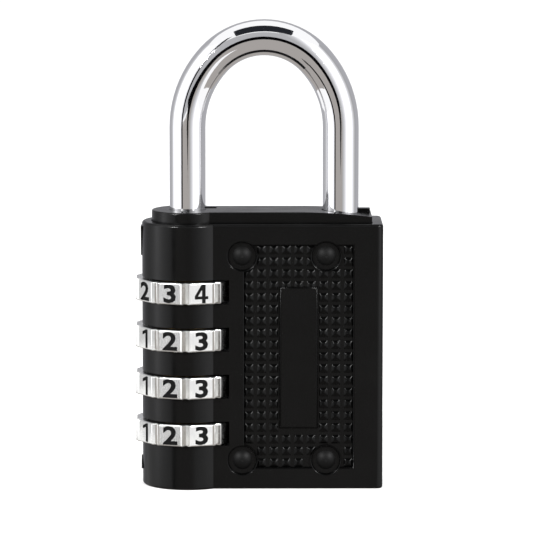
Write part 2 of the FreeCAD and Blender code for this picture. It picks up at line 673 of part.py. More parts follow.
def sleeve(index):
    """Inner sleeve: splines that the dial turns, and a gate disc that stops the fins."""
    body = doc.addObject("PartDesign::Body", f"sleeve_{index}_body")
    low = "-sleeve_half"
    if index == DIALS:
        low = f"washer_z + washer_height + sleeve_gap / 2 - {dial_z(index)}"
    skirt = plane_sketch(body, f"sleeve_{index}_skirt", low)
    circle(skirt, "sleeve_radius")
    circle(skirt, "sleeve_bore")
    extrude(body, "Pad", skirt, f"sleeve_half - ({low})")

    gate = plane_sketch(body, f"sleeve_{index}_gate", "-gate_height / 2")
    circle(gate, "(sleeve_radius + sleeve_bore) / 2")
    circle(gate, "gate_bore")
    extrude(body, "Pad", gate, "gate_height")
    keyway = plane_sketch(body, f"sleeve_{index}_keyway", "-gate_height / 2")
    polygon(keyway, [("-sleeve_bore", "-gate_slot_width / 2"), ("-1", "-gate_slot_width / 2"),
                     ("-1", "gate_slot_width / 2"), ("-sleeve_bore", "gate_slot_width / 2")])
    extrude(body, "Pocket", keyway, "gate_height")

    spline = plane_sketch(body, f"sleeve_{index}_spline", "spline_low")
    inner = "(sleeve_radius + sleeve_bore) / 2"
    polygon(spline, [(inner, "-spline_width / 2"), ("spline_radius", "-spline_width / 2"),
                     ("spline_radius", "spline_width / 2"), (inner, "spline_width / 2")])
    around(body, extrude(body, "Pad", spline, "spline_height"), DIGITS)
    place(body, "leg_x", "0", dial_z(index))
    node(body, f"sleeve_{index}")


# ---------------------------------------------------------------- springs and small parts
def coil(name, wire, mean_radius, turns, low, high):
    """A round-wire compression spring between two heights."""
    helix = doc.addObject("Part::Helix", name + "_path")
    rise = f"(({high}) - ({low}) - {wire})"
    bind(helix, Radius=mean_radius, Height=rise, Pitch=f"{rise} / {turns}")
    section = doc.addObject("Part::Circle", name + "_wire")
    bind(section, Radius=f"{wire} / 2")
    section.Placement = FreeCAD.Placement(FreeCAD.Vector(), ALONG["Y"])
    bind(section, Placement__Base__x=mean_radius)
    spring = doc.addObject("Part::Sweep", name + "_sweep")
    spring.Sections = [section]
    spring.Spine = (helix, ["Edge1"])
    spring.Solid = True
    spring.Frenet = True
    place(spring, "leg_x", "0", f"{low} + {wire} / 2")
    node(spring, name)


def ring(name, outer, inner, low, height):
    """A flat washer on the long-leg axis."""
    body = doc.addObject("PartDesign::Body", name + "_body")
    sketch = plane_sketch(body, name + "_outline", low)
    circle(sketch, outer)
    circle(sketch, inner)
    extrude(body, "Pad", sketch, height)
    place(body, "leg_x", "0", "0")
    node(body, name)


def guide_pin():
    """Headed pin that keeps the lift spring straight."""
    head = cylinder("pin_head", "pin_head_radius", "washer_height", z="case_floor")
    stem = cylinder("pin_stem", "pin_radius", "pin_height", z="base_top")
    node(fuse("guide_pin_shape", [head, stem]), "guide_pin")


def click_spring():
    """Sheet-steel comb whose fingers drop into the dial facets."""
    back = "click_back - click_back_gap"
    front = f"({back} - click_sheet)"
    tip = "(dial_ridge_radius + click_gap)"
    pieces = [box("click_strip", f"leg_x + {front}", f"leg_x + {back}",
                  "-click_half_depth + click_sheet", "click_half_depth - click_sheet",
                  "dial_low_z - click_end_room + click_back_gap",
                  "dial_top_z + click_end_room - click_back_gap")]
    for index in range(1, DIALS + 1):
        body = doc.addObject("PartDesign::Body", f"click_finger_{index}")
        sketch = plane_sketch(body, f"click_finger_{index}_side", "-click_finger_height / 2")
        polygon(sketch, [(front, "finger_root"), (f"{tip} + 0.1", "finger_nose"),
                         (tip, "finger_nose / 2"), (tip, "-finger_nose / 2"),
                         (f"{tip} + 0.1", "-finger_nose"), (f"{tip} + 1", "-finger_tail"),
                         (f"{tip} + 1.22", "click_sheet / 2 - finger_tail"),
                         (f"{tip} + 0.36", "-finger_nose / 2"),
                         (f"{tip} + 0.36", "finger_nose / 2"),
                         (f"{front} + click_sheet / 2", "finger_root - click_sheet"),
                         (f"{front} + click_sheet / 2", "finger_root")])
        extrude(body, "Pad", sketch, "click_finger_height")
        pieces.append(place(body, "leg_x", "0", dial_z(index)))
    node(fuse("click_spring_shape", pieces), "click_spring")


case_halves()
top_cap()
case_rivets()
shackle()
for dial_number in range(1, DIALS + 1):
    dial(dial_number)
    sleeve(dial_number)
ring("spring_base", "hub_radius", "pin_head_radius + 0.05", "case_floor", "washer_height")
ring("thrust_washer", "hub_radius", "washer_bore", "washer_z", "washer_height")
coil("reset_spring", "reset_wire", "reset_mean_radius", "reset_turns", "base_top", "washer_z")
coil("lift_spring", "lift_wire", "lift_mean_radius", "lift_turns", "base_top",
     "leg_end_z + leg_bore_depth - lift_play / 2")
guide_pin()
click_spring()
doc.recompute()

# ---------------------------------------------------------------- checks and export
for item in doc.Objects:
    if "Invalid" in item.State or "Error" in item.State:
        raise RuntimeError(f"{item.Name} failed: {item.State}")
os.makedirs("parts", exist_ok=True)
for item in nodes:
    shape = item.Shape
    if shape.isNull() or not shape.isValid() or not shape.Solids:
        raise RuntimeError(f"{item.Label} has no valid solid")
for item in nodes:
    item.Shape.exportStep(f"parts/{item.Label}.step")
    bounds = item.Shape.BoundBox
    print(f"{item.Label}: {len(item.Shape.Solids)} solid(s), {item.Shape.Volume:.2f} mm3, "
          f"x {bounds.XMin:.2f} {bounds.XMax:.2f}, y {bounds.YMin:.2f} {bounds.YMax:.2f}, "
          f"z {bounds.ZMin:.2f} {bounds.ZMax:.2f}")
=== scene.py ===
# %% [markdown]
# # A four-dial combination padlock, dressed in Blender
#
# The working model arrives as a fixed frame: case halves, cap, shackle, dials and springs, each
# already at its real size and place. This script gives every piece its finish, and builds in
# mesh what is too fine for the frame: the knurled panels and the engraved number rings. One
# spring also gets a mesh of its own.
# Everything is in metres; small features are written in millimetres times MM.

# %% Load the frame
import json
import math

import bmesh
import bpy
from mathutils import Matrix, Vector


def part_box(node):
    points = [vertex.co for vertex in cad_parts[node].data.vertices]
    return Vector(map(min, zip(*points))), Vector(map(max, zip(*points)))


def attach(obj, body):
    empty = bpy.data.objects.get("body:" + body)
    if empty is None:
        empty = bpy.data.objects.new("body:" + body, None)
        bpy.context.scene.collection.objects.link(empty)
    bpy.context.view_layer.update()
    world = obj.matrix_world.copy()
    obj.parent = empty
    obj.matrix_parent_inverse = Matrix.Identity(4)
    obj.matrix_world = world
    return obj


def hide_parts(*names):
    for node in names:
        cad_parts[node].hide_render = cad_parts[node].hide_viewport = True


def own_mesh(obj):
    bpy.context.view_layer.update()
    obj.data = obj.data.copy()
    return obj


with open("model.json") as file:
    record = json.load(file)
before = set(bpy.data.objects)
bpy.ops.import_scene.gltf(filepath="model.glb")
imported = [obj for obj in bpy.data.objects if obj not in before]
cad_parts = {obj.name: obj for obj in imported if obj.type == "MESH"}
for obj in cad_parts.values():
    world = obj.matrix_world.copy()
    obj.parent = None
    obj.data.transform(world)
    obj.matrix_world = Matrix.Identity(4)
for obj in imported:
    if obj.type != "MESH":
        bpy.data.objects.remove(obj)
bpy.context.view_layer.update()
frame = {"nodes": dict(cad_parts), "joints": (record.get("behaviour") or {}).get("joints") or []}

MM = 0.001
nodes = frame["nodes"]

# %% [markdown]
# ## Helpers
# Blender's shaders work in linear light, while a hex colour is written in sRGB, so one function
# converts. A second adds a shader node with its settings and links in one call. That keeps each
# material to a few readable lines; placing the nodes by hand would do the same job slower.

# %% Colour and shader helpers
def colour(text):
    """An sRGB hex colour as linear red, green, blue and alpha."""
    channels = [int(text[i:i + 2], 16) / 255 for i in (1, 3, 5)]
    linear = [c / 12.92 if c <= 0.04045 else ((c + 0.055) / 1.055) ** 2.4 for c in channels]
    return (*linear, 1.0)


def add(tree, kind, settings=None, **inputs):
    """Add a shader node; an input is a value, or a (node, output) pair to link from."""
    made = tree.nodes.new(kind)
    for name, value in (settings or {}).items():
        setattr(made, name, value)
    for name, value in inputs.items():
        socket = made.inputs[name.replace("_", " ")]
        if isinstance(value, tuple) and isinstance(value[0], bpy.types.Node):
            tree.links.new(value[0].outputs[value[1]], socket)
        else:
            socket.default_value = value
    return made


def new_material(name):
    """An empty node material with its principled shader, ready for links."""
    made = bpy.data.materials.new(name)
    made.use_nodes = True
    tree = made.node_tree
    shader = tree.nodes["Principled BSDF"]
    return made, tree, shader


def per_mm(size):
    """The noise scale that puts one feature every so many millimetres."""
    return 1 / (size * MM)


print("mid grey in linear light:", round(colour("#808080")[0], 3))

# %% [markdown]
# ## Camera
# The padlock is seen from in front and about eight degrees above, with a long lens from two
# thirds of a metre, so its upright edges stay almost parallel. A 268 mm lens on a 36 mm sensor
# gives that narrow view; a shorter lens nearer by would splay the legs of the shackle.

# %% Camera
camera_data = bpy.data.cameras.new("camera")
camera_data.lens = 268.4
camera_data.sensor_width = 36.0
camera_data.clip_start = 0.01
camera_data.clip_end = 20.0
camera = bpy.data.objects.new("camera", camera_data)
bpy.context.scene.collection.objects.link(camera)
CAMERA_DIP = 7.70      # degrees below the horizontal
CAMERA_TURN = 0.40     # degrees towards +X
camera.location = Vector((-3.4, -681.3, 130.0)) * MM
camera.rotation_euler = (math.radians(90 - CAMERA_DIP), 0, math.radians(-CAMERA_TURN))
bpy.context.scene.camera = camera
print("camera at, mm:", [round(c / MM, 1) for c in camera.location])

# %% [markdown]
# ## Studio
# A large white floor under an even white sky gives a plain, pale ground from every side. The
# colours are shown as they are, with the standard view transform, so that white stays white.

# %% Floor and sky
bpy.context.scene.view_settings.view_transform = "Standard"


def mesh_object(name, points, faces):
    """An object from plain points and faces."""
    data = bpy.data.meshes.new(name)
    data.from_pydata(points, [], faces)
    data.update()
    made = bpy.data.objects.new(name, data)
    bpy.context.scene.collection.objects.link(made)
    return made


FLOOR_RADIUS = 6.0
FLOOR_SIDES = 96
floor_turns = [2 * math.pi * i / FLOOR_SIDES for i in range(FLOOR_SIDES)]
floor_edge = [(FLOOR_RADIUS * math.cos(t), FLOOR_RADIUS * math.sin(t), 0.0) for t in floor_turns]
floor = mesh_object("floor", floor_edge, [tuple(range(FLOOR_SIDES))])
floor.visible_glossy = False      # the cards below stand in for it in the chrome
white_paper, tree, shader = new_material("white_background_paper")
shader.inputs["Base Color"].default_value = colour("#f4f4f4")
shader.inputs["Roughness"].default_value = 0.9
shader.inputs["Specular IOR Level"].default_value = 0.1
floor.data.materials.append(white_paper)

world = bpy.data.worlds.new("studio")
bpy.context.scene.world = world
world.use_nodes = True
SKY_STRENGTH = 1.12
sky = world.node_tree.nodes["Background"]
sky.inputs["Color"].default_value = colour("#ffffff")
sky.inputs["Strength"].default_value = SKY_STRENGTH
print("floor radius, m:", FLOOR_RADIUS, "sky strength:", SKY_STRENGTH)

# %% [markdown]
# ## Lights
# Two small soft lights stand high at the left and right. The upper ridges of each stud face
# half way between a light and the camera, so they catch a short bright line; a large light would
# smear it. The same lights pick out the rims and lay soft shadows under the rings.

# %% Soft lights
AIM = Vector((0.0, 0.0, 0.03))
LIGHT_AZIMUTH = 37       # degrees to each side of the front
LIGHT_ELEVATION = 26
LIGHT_DISTANCE = 0.8
LIGHT_SIZE = 0.09
LIGHT_POWER = 6.5        # watts


def heading(azimuth, elevation):
    """Direction from the padlock; azimuth turns from the front towards the right."""
    a, e = math.radians(azimuth), math.radians(elevation)
    return Vector((math.sin(a) * math.cos(e), -math.cos(a) * math.cos(e), math.sin(e)))


def soft_light(name, azimuth):
    """A square area light aimed at the padlock."""
    data = bpy.data.lights.new(name, "AREA")
    data.shape = "SQUARE"
    data.size = LIGHT_SIZE
    data.energy = LIGHT_POWER
    made = bpy.data.objects.new(name, data)
    bpy.context.scene.collection.objects.link(made)
    made.location = AIM + heading(azimuth, LIGHT_ELEVATION) * LIGHT_DISTANCE
    made.rotation_euler = heading(azimuth, LIGHT_ELEVATION).to_track_quat("Z", "Y").to_euler()
    made.visible_camera = False


soft_light("left_light", -LIGHT_AZIMUTH)
soft_light("right_light", LIGHT_AZIMUTH)
print("soft lights:", len(bpy.data.lights))

# %% [markdown]
# ## Cards for the reflections
# Chrome and black lacquer show the room more than themselves, so a product studio builds a small
# room of cards for them to mirror. These cards do the same: white boxes left and right, a warm
# grey table, a grey front and a few dark edges that draw the thin lines along the shackle. They
# are seen by glossy rays alone, so they light nothing and never stand in a view. A panorama
# picture would do the same, but cards can be moved one by one until each line sits right.

# %% Card finishes
def card_finish(name, hex_colour, strength, stops=None):
    """A glowing surface; stops fade it from front to back, as (share of depth, share of glow)."""
    made = bpy.data.materials.new(name)
    made.use_nodes = True
    tree = made.node_tree
    tree.nodes.clear()
    glow = add(tree, "ShaderNodeEmission", Color=colour(hex_colour), Strength=strength)
    if stops:
        place = add(tree, "ShaderNodeTexCoord")
        axes = add(tree, "ShaderNodeSeparateXYZ", Vector=(place, "Generated"))
        fade = add(tree, "ShaderNodeValToRGB", Fac=(axes, "Y"))
        ramp = fade.color_ramp.elements
        while len(ramp) < len(stops):
            ramp.new(0.5)
        for element, (where, share) in zip(ramp, stops):
            element.position = where
            element.color = (share, share, share * 1.02, 1)
        tree.links.new(fade.outputs["Color"], glow.inputs["Color"])
    add(tree, "ShaderNodeOutputMaterial", Surface=(glow, "Emission"))
    return made


left_glow = card_finish("left_softbox", "#ffffff", 3.1,
                        [(0.0, 0.3), (0.1, 0.4), (0.25, 0.6), (0.46, 1.0), (0.6, 0.45),
                         (0.8, 0.2), (1.0, 0.14)])
right_glow = card_finish("right_softbox", "#ffffff", 2.2,
                         [(0.0, 0.22), (0.05, 0.32), (0.12, 0.5), (0.22, 0.75), (0.33, 1.0),
                          (0.5, 0.75), (0.7, 0.4), (1.0, 0.15)])
grey_front = card_finish("grey_front", "#bcbcbe", 1.0)
grey_back = card_finish("grey_back", "#b4b4b8", 1.0)
warm_grey = card_finish("warm_grey_table", "#b0aba7", 1.0)
dark_edge = card_finish("dark_edge", "#050506", 1.0)
dark_ceiling = card_finish("dark_ceiling", "#26282d", 1.0)
print("card finishes:", left_glow.name, right_glow.name, grey_front.name, grey_back.name,
      warm_grey.name, dark_edge.name, dark_ceiling.name)


# %% Reflection cards
def card(name, points, faces, finish):
    """A card, in metres, that only reflections can see."""
    made = mesh_object(name, points, faces)
    made.data.materials.append(finish)
    made.visible_camera = False
    made.visible_diffuse = False
    made.visible_shadow = False
    made.visible_transmission = False
    made.visible_volume_scatter = False


CARD_STEPS = 12
CARD_FOOT = -0.3         # well below the table, so that low reflections still meet a card
TABLE_EDGE = 0.03        # the warm table gives way to the grey front at this height
BOX_DISTANCE = 0.45
BOX_FOOT = -0.07
BOX_TOP = 0.5
ROOM_TOP = 0.62


def curved_card(name, from_azimuth, to_azimuth, distance, low, high, finish):
    """An upright card bent round the padlock through a range of azimuths."""
    points = []
    for step in range(CARD_STEPS + 1):
        azimuth = from_azimuth + (to_azimuth - from_azimuth) * step / CARD_STEPS
        foot = heading(azimuth, 0) * distance
        points += [(foot.x, foot.y, low), (foot.x, foot.y, high)]
    faces = [(2 * i, 2 * i + 2, 2 * i + 3, 2 * i + 1) for i in range(CARD_STEPS)]
    card(name, points, faces, finish)


def flat_card(name, half_width, from_y, to_y, z, finish):
    """A level card under or over the padlock."""
    points = [(-half_width, from_y, z), (half_width, from_y, z),
              (half_width, to_y, z), (-half_width, to_y, z)]
    card(name, points, [(0, 1, 2, 3)], finish)


# name, from azimuth, to azimuth, distance, foot, top, finish
curved_card("left_box", -130, -40, BOX_DISTANCE, BOX_FOOT, BOX_TOP, left_glow)
curved_card("right_box", 12, 106, BOX_DISTANCE, BOX_FOOT, BOX_TOP, right_glow)
curved_card("back_card", 106, 230, 0.6, CARD_FOOT, ROOM_TOP, grey_back)
curved_card("front_low_card", -42, 14, 0.5, CARD_FOOT, TABLE_EDGE, warm_grey)
curved_card("front_card", -42, 42, 0.7, TABLE_EDGE, ROOM_TOP, grey_front)
curved_card("dark_upright", -41, -32.5, 0.4, CARD_FOOT, BOX_TOP, dark_edge)
# name, half width, from y, to y, height, finish
flat_card("low_card", 0.55, -0.55, 0.6, -0.28, warm_grey)
flat_card("dark_overhead", 0.27, -0.66, -0.05, 0.68, dark_ceiling)

# The sill is a diamond, so that its line along the crown is thick in the middle and dies away.
SILL_AZIMUTH = 22
SILL_DISTANCE = 0.48
SILL_MIDDLE = 0.07
SILL = [(-SILL_AZIMUTH, SILL_MIDDLE), (0, 0.0), (SILL_AZIMUTH, SILL_MIDDLE), (0, 0.16)]
card("dark_sill", [(*(heading(azimuth, 0) * SILL_DISTANCE).xy, z) for azimuth, z in SILL],
     [(0, 1, 2, 3)], dark_edge)
print("last card at, m:", [round(c, 3) for c in heading(0, 0) * SILL_DISTANCE])

# %% [markdown]
# ## Black coat on die-cast zinc
# The case is zinc pressed into a steel die and then electro-coated black: a thin, even polymer
# film, dark and semi-gloss, that follows the casting's faint orange-peel. A principled shader
# with a near-black base and a low roughness gives the soft, wide highlights on the barrel. The
# coat is thin and a little dusty, so its specular level is set below that of a clean lacquer.
# The orange-peel is a low bump; its real grain, about 0.15 mm, is drawn at 0.35 mm to show.

# %% Black coat
CLOUD_MM = 6.0           # patches where the coat is a little duller or brighter
PEEL_MM = 0.35


def black_coat(name, base, gloss, roughness, peel_strength):
    """Thin black polymer film; gloss is the specular level, where 0.5 is a clean lacquer."""
    made, tree, shader = new_material(name)
    where = (add(tree, "ShaderNodeTexCoord"), "Object")
    cloud = add(tree, "ShaderNodeTexNoise", Vector=where, Scale=per_mm(CLOUD_MM), Detail=3.0)
    tone = add(tree, "ShaderNodeMapRange", Value=(cloud, "Fac"), From_Min=0.3, From_Max=0.7,
               To_Min=roughness - 0.04, To_Max=roughness + 0.05)
    peel = add(tree, "ShaderNodeTexNoise", Vector=where, Scale=per_mm(PEEL_MM), Detail=2.0)
    bump = add(tree, "ShaderNodeBump", Height=(peel, "Fac"), Strength=peel_strength,
               Distance=0.02 * MM)
    shader.inputs["Base Color"].default_value = colour(base)
    shader.inputs["Specular IOR Level"].default_value = gloss
    tree.links.new(tone.outputs["Result"], shader.inputs["Roughness"])
    tree.links.new(bump.outputs["Normal"], shader.inputs["Normal"])
    return made


# The eye sees a deep satin black on the case and a duller black on the hammered rivet heads.
# The studs, rubbed by hands, get a smoother coat for sharper glints; their darker base and weaker
# reflection are painted shade for the sunk panel.
black_zinc = black_coat("black_electrocoat_on_die_cast_zinc", "#050505", 0.18, 0.22, 0.15)
# The knurl coat's darker base and lower specular level are painted shade among the studs.
black_knurl = black_coat("black_electrocoat_with_painted_shade", "#030303", 0.11, 0.13, 0.03)
black_rivet = black_coat("black_electrocoat_on_rivet_steel", "#050505", 0.12, 0.5, 0.1)
print("coats:", black_zinc.name, black_knurl.name, black_rivet.name)

# %% [markdown]
# ## Chrome plate on the shackle
# The shackle is a steel rod, polished, nickelled and flashed with bright chrome. It is a mirror,
# so roughness is very low and the colour comes from the studio. Hard chrome reflects a little
# less blue than silver does. Faint long polishing waves, about 4 mm apart, bend the reflections
# just enough to look like plated rod and not like glass.

# %% Bright chrome
bright_chrome, tree, shader = new_material("bright_chrome_plate_on_steel")
where = (add(tree, "ShaderNodeTexCoord"), "Object")
waves = add(tree, "ShaderNodeTexNoise", Vector=where, Scale=per_mm(4.0), Detail=1.0)
wave_bump = add(tree, "ShaderNodeBump", Height=(waves, "Fac"), Strength=0.08,
                Distance=0.05 * MM)
haze = add(tree, "ShaderNodeTexNoise", Vector=where, Scale=per_mm(0.8), Detail=4.0)
haze_range = add(tree, "ShaderNodeMapRange", Value=(haze, "Fac"), From_Min=0.4, From_Max=0.8,
                 To_Min=0.03, To_Max=0.07)
shader.inputs["Base Color"].default_value = colour("#eeeef0")
shader.inputs["Metallic"].default_value = 1.0
tree.links.new(haze_range.outputs["Result"], shader.inputs["Roughness"])
tree.links.new(wave_bump.outputs["Normal"], shader.inputs["Normal"])
print("shackle finish:", bright_chrome.name)

# %% [markdown]
# ## Satin plate on the number rings
# The rings are die-cast zinc, tumbled and nickel-chrome plated. Tumbling leaves them bright but
# not mirror-like, with fine pits, so the metal has a wider highlight and a speckled bump.
# The real pits are about 0.1 mm and are drawn at 0.22 mm to show. The numerals are moulded in
# and filled with black lacquer, which the eye sees as flat black.

# %% Ring plating and numeral lacquer
ring_plate, tree, shader = new_material("satin_nickel_chrome_on_zinc")
where = (add(tree, "ShaderNodeTexCoord"), "Object")
pits = add(tree, "ShaderNodeTexNoise", Vector=where, Scale=per_mm(0.22), Detail=3.0)
pit_bump = add(tree, "ShaderNodeBump", Height=(pits, "Fac"), Strength=0.2, Distance=0.03 * MM)
speckle = add(tree, "ShaderNodeMapRange", Value=(pits, "Fac"), From_Min=0.3, From_Max=0.7,
              To_Min=0.12, To_Max=0.24)
shader.inputs["Base Color"].default_value = colour("#ececea")
shader.inputs["Metallic"].default_value = 1.0
tree.links.new(speckle.outputs["Result"], shader.inputs["Roughness"])
tree.links.new(pit_bump.outputs["Normal"], shader.inputs["Normal"])

numeral_lacquer, tree, shader = new_material("black_filling_lacquer")
where = (add(tree, "ShaderNodeTexCoord"), "Object")
fill = add(tree, "ShaderNodeTexNoise", Vector=where, Scale=per_mm(0.4), Detail=2.0)
fill_range = add(tree, "ShaderNodeMapRange", Value=(fill, "Fac"), To_Min=0.4, To_Max=0.6)
shader.inputs["Base Color"].default_value = colour("#040404")
shader.inputs["Specular IOR Level"].default_value = 0.12
tree.links.new(fill_range.outputs["Result"], shader.inputs["Roughness"])
print("ring finishes:", ring_plate.name, "and", numeral_lacquer.name)

# %% [markdown]
# ## Metals inside
# The sleeves are turned brass, the springs and washers bare spring steel. They hardly show, but
# they are seen when the model is opened, so each has its own grain: lathe lines on the brass,
# drawn streaks on the steel. The brass is darkened as painted shade for the slots round the
# rings, and the click spring is darkened nearly black as painted shade for the gap it shows in.
# Real lathe and drawing lines are under 0.1 mm apart; they are drawn at 0.3 mm to show.

# %% Brass and spring steel
LINE_MM = 0.3
ROUND_THE_AXIS = (0.05, 0.05, 1.0)
ALONG_THE_AXIS = (1.0, 1.0, 0.1)


def worked_metal(name, base, roughness, stretch):
    """A metal with fine lines; stretch squeezes the noise so that lines run round or along."""
    made, tree, shader = new_material(name)
    where = (add(tree, "ShaderNodeTexCoord"), "Object")
    squeezed = add(tree, "ShaderNodeMapping", Vector=where, Scale=stretch)
    lines = add(tree, "ShaderNodeTexNoise", Vector=(squeezed, "Vector"), Scale=per_mm(LINE_MM),
                Detail=2.0)
    bump = add(tree, "ShaderNodeBump", Height=(lines, "Fac"), Strength=0.3, Distance=0.01 * MM)
    spread = add(tree, "ShaderNodeMapRange", Value=(lines, "Fac"),
                 To_Min=roughness - 0.06, To_Max=roughness + 0.08)
    shader.inputs["Base Color"].default_value = colour(base)
    shader.inputs["Metallic"].default_value = 1.0
    tree.links.new(spread.outputs["Result"], shader.inputs["Roughness"])
    tree.links.new(bump.outputs["Normal"], shader.inputs["Normal"])
    return made


# The brass colour is darkened as painted shade for the dark slots round the rings.
turned_brass = worked_metal("turned_brass_darkened_as_painted_shade", "#6d5a34", 0.38, ROUND_THE_AXIS)
spring_steel = worked_metal("drawn_spring_steel", "#a8a9ab", 0.28, ALONG_THE_AXIS)
# The click spring is darkened nearly black as painted shade for the dark gap it shows in.
shade_darkened_steel = worked_metal("spring_steel_strip_darkened_as_painted_shade", "#23252b", 0.35, ALONG_THE_AXIS)
print("inner metals:", turned_brass.name, spring_steel.name, shade_darkened_steel.name)

# %% [markdown]
# ## Dressing the frame
# Every piece of the frame takes the finish of its real metal. The dials do too, although the
# number rings will stand in for them, so that no piece is ever left bare.

# %% Dress the CAD nodes
def dress(names, finish):
    """Give frame pieces a finish in place of their plain colour."""
    for name in names:
        nodes[name].data.materials.clear()
        nodes[name].data.materials.append(finish)


dress(["front_case", "back_case", "top_cap"], black_zinc)
dress(["case_rivets"], black_rivet)
dress(["shackle"], bright_chrome)
DIALS = range(1, 5)      # dial 1 is the top one
dress([f"dial_{i}" for i in DIALS], ring_plate)
dress([f"sleeve_{i}" for i in DIALS], turned_brass)
dress(["click_spring"], shade_darkened_steel)
dress(["spring_base", "guide_pin", "lift_spring", "reset_spring", "thrust_washer"], spring_steel)
print("dressed", len(nodes), "CAD nodes")

# %% [markdown]
# ## Knurled panels
# Both faces carry a sunk panel filled with small square studs, like the grip on a tool handle,
# round a smooth rectangle. The die cuts each stud as a low pyramid with softened edges. Here one
# stud is a small height grid: the larger of |u| and |v| gives the pyramid, and a power mean
# rounds its four ridges. A subdivided cone would do, but its ridges would be hard to tune.

# %% One stud
STUD_PITCH = 2.04 * MM
STUD_HALF = 0.37 * STUD_PITCH
STUD_HEIGHT = 0.4 * MM
STUD_ROOT = 0.06 * MM       # sunk below the panel floor
STUD_STEPS = 10
RIDGE_SHARPNESS = 9         # power of the mean; higher is sharper
STUD_DOME = 1.35            # 1 is a straight pyramid, more rounds its tip


def stud_height(u, v):
    """Height share of a stud at u, v from -1 to 1: a domed pyramid with rounded ridges."""
    ridge = (abs(u) ** RIDGE_SHARPNESS + abs(v) ** RIDGE_SHARPNESS) ** (1 / RIDGE_SHARPNESS)
    return max(0.0, 1 - ridge ** STUD_DOME)


def add_stud(mesh, middle, side):
    """A closed stud on the panel floor; side is -1 on the front face and 1 on the back."""
    steps = [2 * i / STUD_STEPS - 1 for i in range(STUD_STEPS + 1)]
    grid = [[mesh.verts.new(middle + Vector((u * STUD_HALF,
                                             side * STUD_HEIGHT * stud_height(u, v),
                                             v * STUD_HALF))) for u in steps] for v in steps]
    for row, above in zip(grid, grid[1:]):
        for a, b, c, d in zip(row, row[1:], above[1:], above):
            mesh.faces.new((a, b, c, d) if side < 0 else (d, c, b, a))
    rim = grid[0][:-1] + [row[-1] for row in grid[:-1]] + grid[-1][:0:-1]
    rim += [row[0] for row in grid[:0:-1]]
    roots = [mesh.verts.new(v.co - Vector((0, side * STUD_ROOT, 0))) for v in rim]
    for i, (top, root) in enumerate(zip(rim, roots)):
        after = (i + 1) % len(rim)
        face = (root, roots[after], rim[after], top)
        mesh.faces.new(face if side < 0 else face[::-1])
    mesh.faces.new(roots[::-1] if side < 0 else roots)


print("stud height at its middle and half way out:", stud_height(0, 0),
      round(stud_height(0.5, 0.5), 2))

# %% [markdown]
# ## Where the studs stand
# The panel is measured from the case and its rivets. Studs stand in columns and rows, and leave
# out the smooth rectangle and the recesses round the rivets. Studs that only reach into a recess
# are trimmed later by a boolean, as the die's round cutter does.

# %% Lay out the panel
STUD_COLUMNS = 9
STUD_ROWS = 19
case_low, case_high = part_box("front_case")
rivet_low, rivet_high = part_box("case_rivets")
RIVET_HEAD = 1.65 * MM      # radius
SINK_RADIUS = 2.67 * MM     # round recess about a rivet
SINK_DEPTH = 0.65 * MM
PANEL_DEPTH = 0.5 * MM
PANEL_LEFT = rivet_low.x + RIVET_HEAD + 0.1 * MM
PANEL_RIGHT = case_high.x - 4.9 * MM
PANEL_LOW = 3.5 * MM
PANEL_HIGH = case_high.z - 3.4 * MM
FACE_Y = rivet_high.y
PLATEAU_SIDE = 6.6 * MM
PLATEAU_LOW = PANEL_LOW + 7.4 * MM
PLATEAU_HIGH = PANEL_HIGH - 7.7 * MM
rivet_spots = [(x, z) for x in (rivet_low.x + RIVET_HEAD, rivet_high.x - RIVET_HEAD)
               for z in (rivet_low.z + RIVET_HEAD, rivet_high.z - RIVET_HEAD)]


def on_plateau(x, z):
    """Whether a stud's middle is on the smooth rectangle, or too close beside it."""
    beside, above = STUD_PITCH / 3, STUD_PITCH / 6
    return (PANEL_LEFT + PLATEAU_SIDE - beside < x < PANEL_RIGHT - PLATEAU_SIDE + beside
            and PLATEAU_LOW - above < z < PLATEAU_HIGH + above)


def in_recess(x, z):
    """Whether a stud's middle is in the recess of a rivet."""
    return any(math.hypot(x - rx, z - rz) < SINK_RADIUS for rx, rz in rivet_spots)


def stud_places():
    """Middles of all studs of one panel, as (x, z)."""
    across = (PANEL_RIGHT - PANEL_LEFT) / STUD_COLUMNS
    up = (PANEL_HIGH - PANEL_LOW) / STUD_ROWS
    for column in range(STUD_COLUMNS):
        for row in range(STUD_ROWS):
            x = PANEL_LEFT + (column + 0.5) * across
            z = PANEL_LOW + (row + 0.5) * up
            if not on_plateau(x, z) and not in_recess(x, z):
                yield x, z


print("studs on a panel:", len(list(stud_places())))


# %% Cutting one mesh with another
def rivet_cutter():
    """Four long rods that clear the recesses of the rivets on both faces."""
    mesh = bmesh.new()
    for x, z in rivet_spots:
        turn = Matrix.Translation((x, 0, z)) @ Matrix.Rotation(math.radians(90), 4, "X")
        bmesh.ops.create_cone(mesh, cap_ends=True, segments=64, radius1=SINK_RADIUS,
                              radius2=SINK_RADIUS, depth=4 * FACE_Y, matrix=turn)
    return bmesh_object("rivet_cutter", mesh)


def bmesh_object(name, mesh):
    """An object from an edited mesh, with its faces turned outwards."""
    data = bpy.data.meshes.new(name)
    bmesh.ops.recalc_face_normals(mesh, faces=mesh.faces)
    mesh.to_mesh(data)
    mesh.free()
    made = bpy.data.objects.new(name, data)
    bpy.context.scene.collection.objects.link(made)
    return made


def subtract(target, cutter):
    """Cut one mesh from another for good, keeping the cutter's material on the cut."""
    modifier = target.modifiers.new("cut", "BOOLEAN")
    modifier.operation = "DIFFERENCE"
    modifier.object = cutter
    modifier.solver = "EXACT"
    modifier.material_mode = "TRANSFER"
    graph = bpy.context.evaluated_depsgraph_get()
    done = bpy.data.meshes.new_from_object(target.evaluated_get(graph))
    target.modifiers.clear()
    target.data = done
    bpy.data.objects.remove(cutter)


print("recess radius, mm:", round(SINK_RADIUS / MM, 2))

